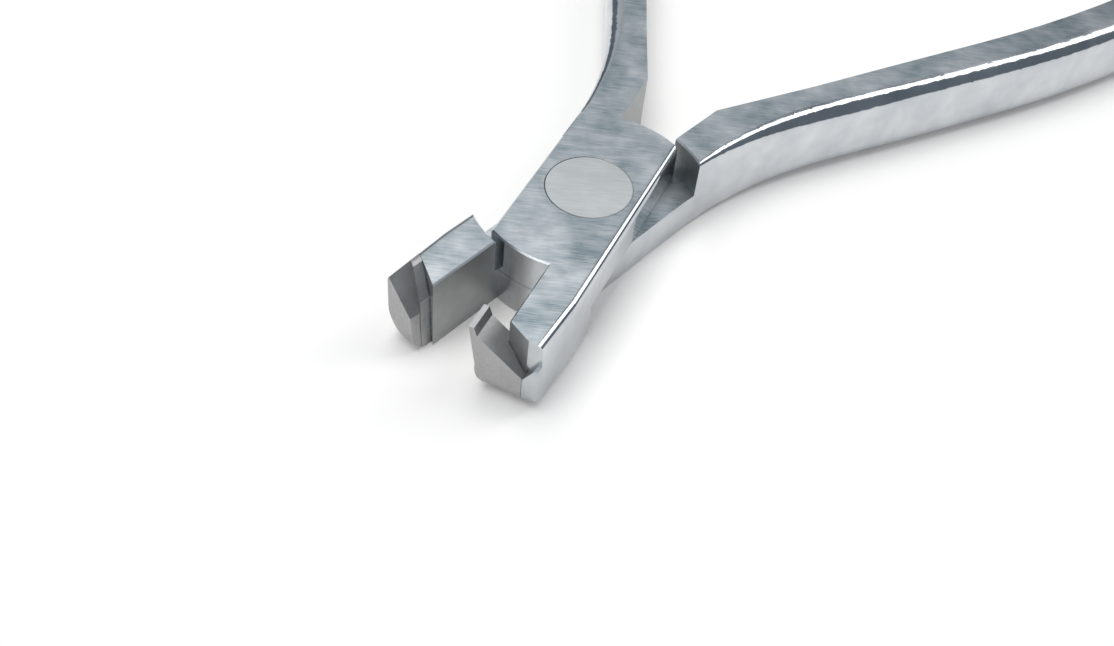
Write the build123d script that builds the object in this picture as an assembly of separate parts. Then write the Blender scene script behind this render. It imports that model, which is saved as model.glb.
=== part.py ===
from build123d import *
import math
import os

# Orthodontic pliers: two lap-jointed forgings that turn about a flush rivet, with brazed
# carbide tips. The part lies flat: +Z is the rivet's axis, the jaws point along -Y and the
# handles along +Y, and the origin is on the rivet's axis in the lower face of the head.
# Each half is drawn closed, along the Y axis, and then turned open by its share of the rest angle.

# Driving dimensions in millimetres, angles in degrees
head_thickness = 6.5
head_radius = 8.8
head_half_width = 4.26
lap_gap = 0.04
pocket_gap = 0.45
rest_half_angle = 8.35

rivet_head_diameter = 6.75
rivet_shank_diameter = 4.4
rivet_head_depth = 1.1
rivet_running_gap = 0.03

# Jaws: distances along a jaw are reaches from the rivet's axis, offsets lie across it
inner_wall_offset = 0.85
jaw_taper_start = 11.2
jaw_taper_angle = 4.0
nose_round = 1.5
edge_break = 0.12
strap_edge_round = 0.6

# The upper half's tip: its cut falls away outwards from a raised tooth on the inner side
upper_face_outer_reach = 15.9
upper_face_setback = 1.05
upper_tip_lead = 0.6
upper_insert_rear_setback = 1.7
upper_insert_outer_offset = 2.8
upper_tip_inner_offset = 1.5
upper_tip_lower_offset = 0.9
upper_tip_corner_height = 2.5
upper_corner_round = 1.8
tooth_depth = 0.2
tooth_width = 0.45
valley_offset = 0.8
valley_depth = 0.95
upper_cut_outer_depth = 3.5
upper_nose_side_depth = 2.2
upper_nose_side_offset = 3.6

# The lower half's tip: its cut falls away inwards and carries a raised rib
lower_face_outer_reach = 14.1
lower_face_outer_offset = 3.5
lower_face_lead = 1.4
lower_tip_lead = 2.9
lower_cut_outer_offset = 3.6
lower_cut_outer_depth = 0.4
lower_cut_inner_offset = 1.6
lower_cut_inner_depth = 3.0
lower_tip_bottom_offset = 1.15
lower_corner_round = 3.2
rib_width = 0.85
rib_height = 1.05

# Handles: the outer edge runs straight along the head, bends out in an arc and straightens
handle_root_offset = 0.95
handle_bend_offset = 1.2
handle_bend_reach = 14.4
handle_neck_start = 5.5
handle_neck_radius = 36.0
handle_angle = 23.1
handle_neck_width = 3.35
handle_width = 4.4
handle_straight_end = 38.0
handle_parallel_reach = 86.0
handle_end_reach = 118.0
handle_end_toe_in = 6.0
handle_round = 1.35
handle_end_height = 5.8
handle_end_bevel = 0.7

# The solder that holds each carbide tip in its seat
braze_thickness = 0.08

overrun = 1.0
join_tolerance = 0.001
half_thickness = head_thickness / 2
upper_nose_reach = upper_face_outer_reach + upper_tip_lead
upper_face_inner_reach = upper_face_outer_reach - upper_face_setback
upper_insert_rear_reach = upper_face_outer_reach - upper_insert_rear_setback
lower_nose_reach = lower_face_outer_reach + lower_tip_lead
lower_face_inner_reach = lower_face_outer_reach + lower_face_lead


def prism(points, low, high):
    """A solid that stands on a closed outline of plan points, between two heights."""
    return extrude(make_face(Polyline(*points, close=True)), high - low).moved(Location((0, 0, low)))


def side_prism(points, near, far):
    """A solid whose outline of (offset, height) points is seen from the jaw's end.

    It runs from the near to the far reach, towards -Y.
    """
    outline = make_face(Polyline(*[(across, 0, height) for across, height in points], close=True))
    return extrude(outline, far - near, dir=(0, -1, 0)).moved(Location((0, -near, 0)))


def side_offset(reach):
    """The outer side's distance from the closed jaw's line at a reach."""
    slope = math.tan(math.radians(jaw_taper_angle))
    return head_half_width - max(reach - jaw_taper_start, 0) * slope


def head_and_jaw(nose_reach):
    """The lower half's head and its jaw on the -X side, at full thickness, with broken edges."""
    head = Rectangle(2 * head_half_width, 2 * head_radius) & Circle(head_radius)
    jaw_outline = [
        (-inner_wall_offset, 0),
        (-inner_wall_offset, -nose_reach),
        (-side_offset(nose_reach), -nose_reach),
        (-head_half_width, -jaw_taper_start),
        (-head_half_width, 0),
    ]
    plan = head + make_face(Polyline(*jaw_outline, close=True))
    body = extrude(plan, head_thickness).moved(Location((0, 0, -half_thickness)))
    outer_limit = -(head_half_width + inner_wall_offset) / 2
    rims = body.edges().filter_by(lambda edge: abs(edge.center().Z) > half_thickness / 2)
    outer = rims.filter_by(GeomType.LINE).filter_by(lambda edge: edge.center().X < outer_limit)
    outer = outer.filter_by(lambda edge: abs(edge.tangent_at(0).Y) > 1 / 2)
    body = fillet(outer, strap_edge_round)
    rims = body.edges().filter_by(lambda edge: abs(abs(edge.center().Z) - half_thickness) < edge_break / 2)
    fine = rims.filter_by(lambda edge: edge.center().X > outer_limit)
    fine = fine.filter_by(lambda edge: edge.center().Y > edge_break - nose_reach)
    return chamfer(fine, edge_break)


def rounded_front(reach, radius, turn):
    """All that lies behind a front face whose lower edge is rounded, turned from -Y towards -X."""
    low = -half_thickness
    high = half_thickness + overrun
    far = handle_end_reach + overrun
    corner = radius * (1 - math.sqrt(0.5))
    outline = [
        Line((-reach, high), (-reach, low + radius)),
        ThreePointArc((-reach, low + radius), (corner - reach, low + corner), (radius - reach, low)),
        Line((radius - reach, low), (radius - reach, low - overrun)),
        Line((radius - reach, low - overrun), (far, low - overrun)),
        Line((far, low - overrun), (far, high)),
        Line((far, high), (-reach, high)),
    ]
    solid = extrude(Plane.YZ * make_face(Wire(outline)), handle_end_reach, both=True)
    return solid.rotate(Axis.Z, -turn)


def nose_profile(nose_reach, corner_round):
    """A jaw's end: its lower edge rounded, and its outer lower corner more so."""
    corner_reach = (side_offset(nose_reach) + nose_reach) * math.sqrt(0.5)
    return rounded_front(nose_reach, nose_round, 0) & rounded_front(corner_reach, corner_round, 45)


def handle_section(place, depth, height, outer_round):
    """One section of a handle, drawn inwards from its rounded outer side at the place."""
    up = height / 2
    corner = outer_round * (1 - math.sqrt(0.5))
    edges = [
        Line((-depth, up), (-outer_round, up)),
        ThreePointArc((-outer_round, up), (-corner, up - corner), (0, up - outer_round)),
        Line((0, up - outer_round), (0, outer_round - up)),
        ThreePointArc((0, outer_round - up), (-corner, corner - up), (-outer_round, -up)),
        Line((-outer_round, -up), (-depth, -up)),
        Line((-depth, -up), (-depth, up)),
    ]
    return place * make_face(Wire(edges))


def handle_line():
    """Stations along a handle's outer edge: across, along, angle, width, height, rounding."""
    root = head_half_width - handle_root_offset
    stations = [
        (head_half_width, head_radius / 2, 0, root, head_thickness, edge_break),
        (head_half_width, handle_neck_start, 0, root, head_thickness, edge_break),
    ]
    neck_steps = 4
    for number in range(neck_steps):
        share = (number + 1) / neck_steps
        angle = handle_angle * share
        turn = math.radians(angle)
        across = head_half_width + handle_neck_radius * (1 - math.cos(turn))
        along = handle_neck_start + handle_neck_radius * math.sin(turn)
        rounding = edge_break + (handle_round - edge_break) * share
        stations.append((across, along, angle, handle_neck_width, head_thickness, rounding))
    neck_end = along
    steps = [((handle_straight_end - neck_end) / 2, handle_angle, handle_angle)] * 2
    curve_steps = 12
    for number in range(curve_steps):
        before = handle_angle * (1 - number / curve_steps)
        after = handle_angle * (1 - (number + 1) / curve_steps)
        steps.append(((handle_parallel_reach - handle_straight_end) / curve_steps, before, after))
    end_steps = 4
    for number in range(end_steps):
        before = -handle_end_toe_in * number / end_steps
        after = -handle_end_toe_in * (number + 1) / end_steps
        steps.append(((handle_end_reach - handle_parallel_reach) / end_steps, before, after))
    for stride, before, after in steps:
        across += stride * math.tan(math.radians((before + after) / 2))
        along += stride
        widening = min((along - neck_end) / (handle_parallel_reach - neck_end), 1)
        width = handle_neck_width + (handle_width - handle_neck_width) * widening
        ending = (along - neck_end) / (handle_end_reach - neck_end)
        height = head_thickness + (handle_end_height - head_thickness) * ending
        stations.append((across, along, after, width, height, handle_round))
    return stations


def inner_waste(stations):
    """What lies inwards of a handle's flat inner side, which has one corner at the bend."""
    smooth = [station for station in stations if station[1] > handle_bend_reach + handle_neck_width]
    points = []
    for across, along, angle, width, height, rounding in smooth:
        turn = math.radians(angle)
        points.append((across - width * math.cos(turn), along + width * math.sin(turn)))
    last = points[-1]
    corner = (handle_bend_offset, handle_bend_reach)
    start = (points[0][0] - corner[0], points[0][1] - corner[1])
    turn = math.radians(handle_end_toe_in)
    end = (-math.sin(turn), math.cos(turn))
    beyond = (last[0] + 2 * end[0] * handle_width, last[1] + 2 * end[1] * handle_width)
    left = -head_half_width
    edges = [
        Line((left, 0), (handle_root_offset, 0)),
        Line((handle_root_offset, 0), corner),
        Line(corner, points[0]),
        Spline(*points, tangents=(start, end)),
        Line(last, beyond),
        Line(beyond, (left, beyond[1])),
        Line((left, beyond[1]), (left, 0)),
    ]
    face = make_face(Wire(edges))
    return extrude(face, 2 * head_thickness).moved(Location((0, 0, -head_thickness)))


def handle_end_waste(station):
    """What is trimmed off a handle's end to round it in plan and bevel its top and bottom edges."""
    across, along, angle, width, height, rounding = station
    turn = math.radians(angle)
    centre = Plane(origin=(across, along, 0), x_dir=(math.cos(turn), -math.sin(turn), 0), z_dir=(0, 0, 1))
    radius = width / 2
    up = height / 2
    block = Pos(0, handle_width) * Box(3 * handle_width, 2 * handle_width + width, 2 * head_thickness)
    plan = block - Pos(-radius, -radius) * Cylinder(radius, 2 * head_thickness)
    bevel = [(-handle_end_bevel, up + overrun), (-handle_end_bevel, up), (0, up - handle_end_bevel)]
    bevel = bevel + [(overrun, up - handle_end_bevel), (overrun, up + overrun)]
    top = extrude(Plane.YZ * make_face(Polyline(*bevel, close=True)), handle_width, both=True)
    return [centre * piece for piece in (plan, top, top.mirror(Plane.XY))]


def handle():
    """The lower half's handle, on the +X side, lofted along its outer edge and then trimmed."""
    stations = handle_line()
    end = stations[-1]
    turn = math.radians(end[2])
    past_end = (end[0] + handle_width * math.sin(turn), end[1] + handle_width * math.cos(turn)) + end[2:]
    sections = []
    for across, along, angle, width, height, rounding in stations + [past_end]:
        turn = math.radians(angle)
        x_dir = (math.cos(turn), -math.sin(turn), 0)
        z_dir = (-math.sin(turn), -math.cos(turn), 0)
        place = Plane(origin=(across, along, 0), x_dir=x_dir, z_dir=z_dir)
        sections.append(handle_section(place, width + overrun, height, rounding))
    grip = loft(sections) - inner_waste(stations)
    for waste in handle_end_waste(end):
        grip = grip - waste
    return grip


def forging(nose_reach):
    """One half before its tip is cut: head, jaw on -X, handle on +X and the pocket for the other lap."""
    radius = head_radius + pocket_gap
    pocket = [
        (0, -lap_gap / 2),
        (radius, -lap_gap / 2),
        (radius, half_thickness - edge_break),
        (radius + edge_break + overrun, half_thickness + overrun),
        (0, half_thickness + overrun),
    ]
    blank = head_and_jaw(nose_reach).fuse(handle(), tol=join_tolerance)
    return blank - revolve(Plane.XZ * make_face(Polyline(*pocket, close=True)), Axis.Z)


def rivet_shape(gap):
    """The rivet's two cones and shank, grown all round by a gap."""
    head = rivet_head_diameter / 2 + gap
    shank = rivet_shank_diameter / 2 + gap
    inside = half_thickness - rivet_head_depth
    outline = [
        (0, -half_thickness),
        (head, -half_thickness),
        (shank, -inside),
        (shank, inside),
        (head, half_thickness),
        (0, half_thickness),
    ]
    return revolve(Plane.XZ * make_face(Polyline(*outline, close=True)), Axis.Z)


def front_of(points):
    """All that lies in front of a line of (offset, reach) points, across the whole jaw."""
    far = 2 * max(upper_nose_reach, lower_nose_reach)
    line = [(across, -reach) for across, reach in points]
    return prism(line + [(points[-1][0], -far), (points[0][0], -far)], -head_thickness, head_thickness)


def lower_seat(shift):
    """The line that the lower tip is seated on, moved forward by a shift."""
    slope = (lower_face_inner_reach - lower_face_outer_reach) / (lower_face_outer_offset - inner_wall_offset)
    left = -head_half_width - overrun
    right = overrun
    reach_left = lower_face_outer_reach + slope * (left + lower_face_outer_offset)
    reach_right = lower_face_outer_reach + slope * (right + lower_face_outer_offset)
    return [(left, reach_left + shift), (right, reach_right + shift)]


def lower_cut(raise_by):
    """What is cut away above the lower tip's slanting face."""
    top = half_thickness
    run = lower_cut_outer_offset - lower_cut_inner_offset
    fall = lower_cut_inner_depth - lower_cut_outer_depth
    left = lower_cut_outer_offset + overrun
    outline = [
        (-left, top - lower_cut_outer_depth + overrun * fall / run + raise_by),
        (-lower_cut_inner_offset, top - lower_cut_inner_depth + raise_by),
        (-lower_tip_bottom_offset, -top - overrun),
        (overrun, -top - overrun),
        (overrun, top + overrun),
        (-left, top + overrun),
    ]
    return side_prism(outline, jaw_taper_start, lower_nose_reach + overrun)


def lower_pieces():
    """The lower half, its carbide tip and the solder between them, closed and centred."""
    nose = nose_profile(lower_nose_reach, lower_corner_round)
    whole = (forging(lower_nose_reach) & nose) - rivet_shape(0)
    seat = front_of(lower_seat(0))
    tip_front = front_of(lower_seat(braze_thickness))
    steel = whole - seat
    solder = (whole & seat) - tip_front - lower_cut(rib_height)
    tip = whole & tip_front
    rib = (tip - front_of(lower_seat(braze_thickness + rib_width))) - lower_cut(rib_height)
    return steel, solder, (tip - lower_cut(0)) + rib


def upper_cut():
    """What is cut away above the upper tip's slanting face, outside the seat line too."""
    top = half_thickness
    outline = [
        (upper_tip_inner_offset + overrun, top + overrun),
        (upper_tip_inner_offset + overrun, top - tooth_depth),
        (upper_tip_inner_offset - tooth_width, top - tooth_depth),
        (valley_offset, top - valley_depth),
        (-upper_insert_outer_offset, top - upper_cut_outer_depth),
        (-upper_nose_side_offset, top - upper_nose_side_depth),
        (-head_half_width - overrun, top - upper_nose_side_depth),
        (-head_half_width - overrun, top + overrun),
    ]
    line = [
        (-head_half_width - overrun, upper_face_outer_reach),
        (-upper_insert_outer_offset, upper_face_outer_reach),
        (-inner_wall_offset, upper_face_inner_reach),
        (-inner_wall_offset, jaw_taper_start),
        (upper_tip_inner_offset + overrun, jaw_taper_start),
    ]
    return side_prism(outline, jaw_taper_start, upper_nose_reach + overrun) & front_of(line)


def upper_pieces():
    """The upper half's pieces, drawn like the lower half's: closed, centred, jaw on -X, then flipped."""
    low = -half_thickness
    high = half_thickness
    nose = nose_profile(upper_nose_reach, upper_corner_round)
    flipped = forging(upper_nose_reach).rotate(Axis.Y, 180).mirror(Plane.YZ)
    whole = (flipped & nose) - rivet_shape(rivet_running_gap)
    corner_width = upper_tip_lower_offset + inner_wall_offset
    middle_share = 1 - math.sqrt(0.5)
    inner_side = [
        Line((-inner_wall_offset, low), (-inner_wall_offset, high)),
        Line((-inner_wall_offset, high), (upper_tip_inner_offset, high)),
        Line((upper_tip_inner_offset, high), (upper_tip_lower_offset, low + upper_tip_corner_height)),
        ThreePointArc(
            (upper_tip_lower_offset, low + upper_tip_corner_height),
            (upper_tip_lower_offset - corner_width * middle_share, low + upper_tip_corner_height * middle_share),
            (-inner_wall_offset, low),
        ),
    ]
    inner_face = Plane.XZ * make_face(Wire(inner_side))
    length = upper_nose_reach - upper_insert_rear_reach
    inner_part = extrude(inner_face, length, dir=(0, -1, 0)).moved(Location((0, -upper_insert_rear_reach, 0)))
    seat_line = [
        (-upper_insert_outer_offset, upper_face_outer_reach),
        (-inner_wall_offset, upper_face_inner_reach),
    ]
    held = front_of(seat_line) & whole
    seat_inside = [
        (-upper_insert_outer_offset + braze_thickness, upper_face_outer_reach + braze_thickness),
        (-inner_wall_offset, upper_face_inner_reach + braze_thickness),
    ]
    held_tip = held & front_of(seat_inside)
    cut = upper_cut()
    steel = whole - held - cut
    solder = held - held_tip - cut
    tip = held_tip + (inner_part & nose) - cut
    return [piece.mirror(Plane.YZ) for piece in (steel, solder, tip)]


def place(piece, angle):
    """Lift a closed, centred piece onto the resting plane and turn it open."""
    return piece.moved(Location((0, 0, half_thickness))).rotate(Axis.Z, angle)


def write(name, piece):
    """Write one named sub-part as its own file."""
    piece.label = name
    export_step(piece, f"parts/{name}.step")


os.makedirs("parts", exist_ok=True)
lower_steel, lower_solder, lower_tip = lower_pieces()
upper_steel, upper_solder, upper_tip = upper_pieces()
write("lower_half", place(lower_steel, -rest_half_angle))
write("lower_braze", place(lower_solder, -rest_half_angle))
write("lower_carbide_tip", place(lower_tip, -rest_half_angle))
write("pivot_rivet", place(rivet_shape(0), -rest_half_angle))
write("upper_half", place(upper_steel, rest_half_angle))
write("upper_braze", place(upper_solder, rest_half_angle))
write("upper_carbide_tip", place(upper_tip, rest_half_angle))
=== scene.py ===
import math

import bmesh
import bpy
from mathutils import Matrix, Vector


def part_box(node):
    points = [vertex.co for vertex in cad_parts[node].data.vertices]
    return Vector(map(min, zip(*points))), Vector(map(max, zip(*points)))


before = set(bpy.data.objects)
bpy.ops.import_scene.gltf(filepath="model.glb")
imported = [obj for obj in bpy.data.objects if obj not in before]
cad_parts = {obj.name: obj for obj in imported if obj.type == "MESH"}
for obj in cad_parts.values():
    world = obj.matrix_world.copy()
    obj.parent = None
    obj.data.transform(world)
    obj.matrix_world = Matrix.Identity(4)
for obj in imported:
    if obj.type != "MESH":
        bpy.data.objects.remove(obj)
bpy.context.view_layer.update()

# The camera looks down on the head from the jaws' side, with the jaws at the left and the
# handles running off the top and right edges. It stands in the closed jaws' own frame turned
# by the angle at which the pliers lie, and is rolled a little to the right.
lie_angle = math.radians(61.1 - 90)
camera_elevation = math.radians(48.7)
camera_roll = math.radians(6.5)
head_radius = 0.0088
head_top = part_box("pivot_rivet")[1][2]
aim_across, aim_along = -0.1389 * head_radius, -1.5848 * head_radius
camera_distance = 10.09 * head_radius
focal_pixels = 1300
frame_pixels = 1114
sensor_width = 36.0
nearest_seen = 0.005

turn = Matrix.Rotation(-lie_angle, 3, "Z")
backward = turn @ Vector((0, -math.cos(camera_elevation), math.sin(camera_elevation)))
sideways = turn @ Vector((1, 0, 0))
upward = backward.cross(sideways)
right = math.cos(camera_roll) * sideways + math.sin(camera_roll) * upward
up = math.cos(camera_roll) * upward - math.sin(camera_roll) * sideways
aim = turn @ Vector((aim_across, aim_along, 0)) + Vector((0, 0, head_top))
eye = aim + camera_distance * backward

camera_data = bpy.data.cameras.new("photo_camera")
camera_data.sensor_width = sensor_width
camera_data.lens = focal_pixels * sensor_width / frame_pixels
camera_data.clip_start = nearest_seen
camera = bpy.data.objects.new("photo_camera", camera_data)
bpy.context.scene.collection.objects.link(camera)
camera.matrix_world = Matrix((
    (right.x, up.x, backward.x, eye.x),
    (right.y, up.y, backward.y, eye.y),
    (right.z, up.z, backward.z, eye.z),
    (0, 0, 0, 1),
))
bpy.context.scene.camera = camera

# The table: a plain white sheet of paper that lies flat under the pliers. It shows white
# wherever no shadow falls, and in the steel too, and keeps the soft shadow of the pliers.
floor_size = 3.0
sheet_white = (0.93, 0.915, 0.895, 1)
sheet_glow = (0.12, 0.115, 0.11, 1)
no_glow = (0, 0, 0, 1)


def plug(tree, socket, value):
    """Link a shader value to a socket, or set a plain value on it."""
    if isinstance(value, Channel):
        tree.links.new(value.socket, socket)
    else:
        socket.default_value = value


class Channel:
    """A shader value, so that sums of shader values read as plain expressions."""

    def __init__(self, tree, socket):
        self.tree = tree
        self.socket = socket

    def apply(self, operation, other=0, reflected=False):
        node = self.tree.nodes.new("ShaderNodeMath")
        node.operation = operation
        pair = (other, self) if reflected else (self, other)
        for socket, value in zip(node.inputs, pair):
            plug(self.tree, socket, value)
        return Channel(self.tree, node.outputs[0])

    def __add__(self, other):
        return self.apply("ADD", other)

    def __radd__(self, other):
        return self.apply("ADD", other, True)

    def __sub__(self, other):
        return self.apply("SUBTRACT", other)

    def __rsub__(self, other):
        return self.apply("SUBTRACT", other, True)

    def __mul__(self, other):
        return self.apply("MULTIPLY", other)


class Finish:
    """A finish of a real surface: a material whose shader nodes are added one by one."""

    def __init__(self, name):
        self.material = bpy.data.materials.new(name)
        self.material.use_nodes = True
        self.tree = self.material.node_tree
        self.shader = self.tree.nodes["Principled BSDF"]

    def node(self, kind, settings=None, values=None, output=0):
        added = self.tree.nodes.new("ShaderNode" + kind)
        for name, value in (settings or {}).items():
            setattr(added, name, value)
        for name, value in (values or {}).items():
            plug(self.tree, added.inputs[name], value)
        return Channel(self.tree, added.outputs[output])

    def mix(self, share, first, second):
        """Two colours mixed by a share of the second."""
        values = {0: share, 6: first, 7: second}
        return self.node("Mix", {"data_type": "RGBA"}, values, output=2)

    def feed(self, **values):
        """Link or set sockets of the shader by their names."""
        for name, value in values.items():
            plug(self.tree, self.shader.inputs[name.replace("_", " ")], value)


shape = bmesh.new()
bmesh.ops.create_grid(shape, x_segments=1, y_segments=1, size=floor_size / 2)
floor_mesh = bpy.data.meshes.new("table")
shape.to_mesh(floor_mesh)
shape.free()
floor = bpy.data.objects.new("table", floor_mesh)
bpy.context.scene.collection.objects.link(floor)

paper = Finish("white_sheet")
seen = paper.node("LightPath", output="Is Camera Ray")
for kind in ("Is Glossy Ray", "Is Transmission Ray"):
    seen = seen.apply("MAXIMUM", paper.node("LightPath", output=kind))
paper.feed(Base_Color=sheet_white, Roughness=0.9, Specular_IOR_Level=0.1)
paper.feed(Emission_Color=paper.mix(seen, no_glow, sheet_glow), Emission_Strength=1)
floor_mesh.materials.append(paper.material)

# The studio: a dim bluish room with four soft lamps. A broad one hangs over the head, a large
# dim panel stands behind for the flat faces to mirror, a tall one at the right rear draws the
# bright bands along the sides, and a small one at the front left lights the tips.
room_colour = (0.16, 0.185, 0.215, 1)
world = bpy.data.worlds.new("studio")
bpy.context.scene.world = world
world.use_nodes = True
world.node_tree.nodes["Background"].inputs["Color"].default_value = room_colour
world.node_tree.nodes["Background"].inputs["Strength"].default_value = 1
bpy.context.scene.view_settings.view_transform = "Standard"


def softbox(name, place, width, height, radiance):
    """A soft lamp at a place in the camera's own directions, turned towards the head."""
    data = bpy.data.lights.new(name, "AREA")
    data.shape = "RECTANGLE"
    data.size = width
    data.size_y = height
    data.energy = radiance * math.pi * width * height
    lamp = bpy.data.objects.new(name, data)
    lamp.location = turn @ Vector(place)
    towards_head = Vector((0, 0, head_top)) - lamp.location
    lamp.rotation_euler = towards_head.to_track_quat("-Z", "Y").to_euler()
    bpy.context.scene.collection.objects.link(lamp)


softbox("overhead", (-0.08, 0.03, 0.42), width=0.44, height=0.24, radiance=4.0)
softbox("behind", (-0.1, 0.6, 0.5), width=0.9, height=0.45, radiance=0.42)
softbox("right_rear", (0.33, 0.19, 0.37), width=0.2, height=0.42, radiance=2.6)
softbox("front_left", (-0.28, -0.34, 0.33), width=0.22, height=0.22, radiance=1.4)

# The two forged halves: stainless steel, ground flat on top and bottom with a fine grain and
# cloudy patches, and buffed bright by hand on the outer sides. The inner walls are left dull and
# painted a darker grey, partly their own duller finish and partly painted shade in the recesses,
# and the sharp edges are broken with a fine bevel that carries a painted white highlight.
ground_dark, ground_light = (0.3, 0.36, 0.39), (0.64, 0.67, 0.68)
buffed_dark, buffed_light = (0.5, 0.53, 0.56), (0.66, 0.68, 0.7)
# Painted shade: a darker grey laid on the inner walls, partly their duller finish.
dull_and_shaded_wall_grey = (0.34, 0.335, 0.33, 1)
# Painted highlight: a near-white laid on the bevel faces of the edges.
painted_highlight_white = (0.95, 0.96, 0.97, 1)
wall_dull_and_shade_share = 0.7
flat_sharpness = 60
buffed_sharpness = 5
bevel_sharpness = 12
bevel_slope = math.sqrt(0.5)
evenly = (1, 1, 1)
along_grain = (1, 14, 1)
along_scuffs = (1, 5, 1)
grain_scale = 700
ground_roughness = 0.31


def axis_of(finish, vector, name):
    """One axis of a vector, as a number."""
    return finish.node("SeparateXYZ", values={0: vector}, output=name)


def turned_to_grain(finish, vector):
    """A place on the pliers, turned so that the grinding runs straight across it."""
    values = {"Vector": vector, "Angle": lie_angle}
    return finish.node("VectorRotate", {"rotation_type": "Z_AXIS"}, values)


def clouds(finish, vector, stretch, scale, detail=2):
    """Soft noise about zero, stretched along the axes of a vector."""
    stretched = finish.node("VectorMath", {"operation": "MULTIPLY"}, {0: vector, 1: stretch})
    values = {"Vector": stretched, "Scale": scale, "Detail": detail}
    return finish.node("TexNoise", {}, values) - 0.5


def shades(finish, tone, dark, light, dark_end=0.2, light_end=0.8):
    """A colour that runs from dark to light as the tone rises."""
    ramp = finish.tree.nodes.new("ShaderNodeValToRGB")
    ends = ((dark_end, dark), (light_end, light))
    for element, (position, colour) in zip(ramp.color_ramp.elements, ends):
        element.position = position
        element.color = (*colour, 1)
    plug(finish.tree, ramp.inputs["Fac"], tone)
    return Channel(finish.tree, ramp.outputs[0])


def dress(finish, *names):
    """Give pieces of the CAD model their finish."""
    for name in names:
        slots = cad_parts[name].data.materials
        slots.clear()
        slots.append(finish.material)


steel = Finish("ground_steel")
place = steel.node("TexCoord", output="Object")
normal = steel.node("TexCoord", output="Normal")
steepness = axis_of(steel, normal, "Z").apply("ABSOLUTE")
flatness = steepness.apply("POWER", flat_sharpness)
outward = axis_of(steel, normal, "X") * axis_of(steel, place, "X").apply("SIGN")
buffed = (outward * buffed_sharpness).apply("MAXIMUM", 0).apply("MINIMUM", 1) * (1 - flatness)
walls = (1 - flatness) * (1 - buffed)
off_bevel = (steepness - bevel_slope).apply("ABSOLUTE") * bevel_sharpness
# The faces that slope at the bevel's angle, which get the painted highlight.
bevel_highlight_share = (1 - off_bevel).apply("MAXIMUM", 0) * (1 - buffed)

patches = clouds(steel, place, evenly, 260)
small_patches = clouds(steel, place, evenly, 900)
grain_place = turned_to_grain(steel, place)
grain = clouds(steel, grain_place, along_grain, grain_scale, detail=4) * flatness
scuffs = clouds(steel, grain_place, along_scuffs, 160, detail=3) * flatness
tone = 0.5 + patches * 1.1 + small_patches * 0.5 + grain * 0.8 + scuffs * 0.6
ground = shades(steel, tone, ground_dark, ground_light)
bright = shades(steel, tone, buffed_dark, buffed_light)
colour = steel.mix(buffed, ground, bright)
# Painted shade on the inner walls, mixed with their duller finish.
colour = steel.mix(walls * wall_dull_and_shade_share, colour, dull_and_shaded_wall_grey)
# Painted highlight on the bevels.
colour = steel.mix(bevel_highlight_share, colour, painted_highlight_white)
roughness = ground_roughness - buffed * 0.19 + walls * 0.12 - bevel_highlight_share * 0.12
roughness = roughness + patches * 0.16 + grain * 0.12
relief = grain * 0.6 + small_patches * 0.4
bump = steel.node("Bump", {}, {"Strength": 0.1, "Distance": 0.00005, "Height": relief})
steel.feed(Base_Color=colour, Roughness=roughness, Normal=bump, Metallic=1)
dress(steel, "lower_half", "upper_half")

# The rivet: paler steel, pressed through both halves and ground flush with the head on both
# sides, so that only a fine dark line shows round it, darker on the left.
rivet_dark, rivet_light = (0.5, 0.53, 0.53), (0.72, 0.73, 0.72)
line_colour = (0.03, 0.035, 0.05, 1)
line_width = 0.00007
line_strength = 0.6
line_fading = 110
rivet_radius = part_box("pivot_rivet")[1][0]

rivet_steel = Finish("rivet_steel")
place = rivet_steel.node("TexCoord", output="Object")
flat_place = rivet_steel.node("VectorMath", {"operation": "MULTIPLY"}, {0: place, 1: (1, 1, 0)})
radius = rivet_steel.node("VectorMath", {"operation": "LENGTH"}, {0: flat_place}, output="Value")
ring = radius.apply("GREATER_THAN", rivet_radius - line_width)
dark_line = ring * (line_strength - axis_of(rivet_steel, place, "X") * line_fading)
grain = clouds(rivet_steel, turned_to_grain(rivet_steel, place), along_grain, grain_scale, detail=4)
patches = clouds(rivet_steel, place, evenly, 400)
colour = shades(rivet_steel, 0.5 + grain * 0.6 + patches * 0.4, rivet_dark, rivet_light)
colour = rivet_steel.mix(dark_line, colour, line_colour)
rivet_steel.feed(Base_Color=colour, Roughness=0.36 + grain * 0.12, Metallic=1)
dress(rivet_steel, "pivot_rivet")

# The tips: sintered carbide blocks, ground to their working faces and left dull grey, with a
# slight sparkle of grain. Each is brazed into a seat at the end of its jaw.
carbide_dark, carbide_light = (0.38, 0.375, 0.38), (0.54, 0.535, 0.53)
carbide = Finish("ground_carbide")
place = carbide.node("TexCoord", output="Object")
patches = clouds(carbide, place, evenly, 500)
speckle = clouds(carbide, place, evenly, 4000)
colour = shades(carbide, 0.5 + patches * 0.5 + speckle * 0.5, carbide_dark, carbide_light)
bump = carbide.node("Bump", {}, {"Strength": 0.15, "Distance": 0.00003, "Height": speckle})
carbide.feed(Base_Color=colour, Roughness=0.52 + patches * 0.1, Normal=bump, Metallic=1)
dress(carbide, "lower_carbide_tip", "upper_carbide_tip")

# The solder: a thin seam of silver solder, dull and warm grey, run in under each tip when the
# jaw was heated. It holds the tip in its seat.
solder_dark, solder_light = (0.2, 0.2, 0.2), (0.34, 0.33, 0.3)
solder = Finish("silver_solder")
place = solder.node("TexCoord", output="Object")
patches = clouds(solder, place, evenly, 1500)
colour = shades(solder, 0.5 + patches, solder_dark, solder_light, dark_end=0.3, light_end=0.7)
solder.feed(Base_Color=colour, Roughness=0.4 + patches * 0.2, Metallic=1)
dress(solder, "lower_braze", "upper_braze")
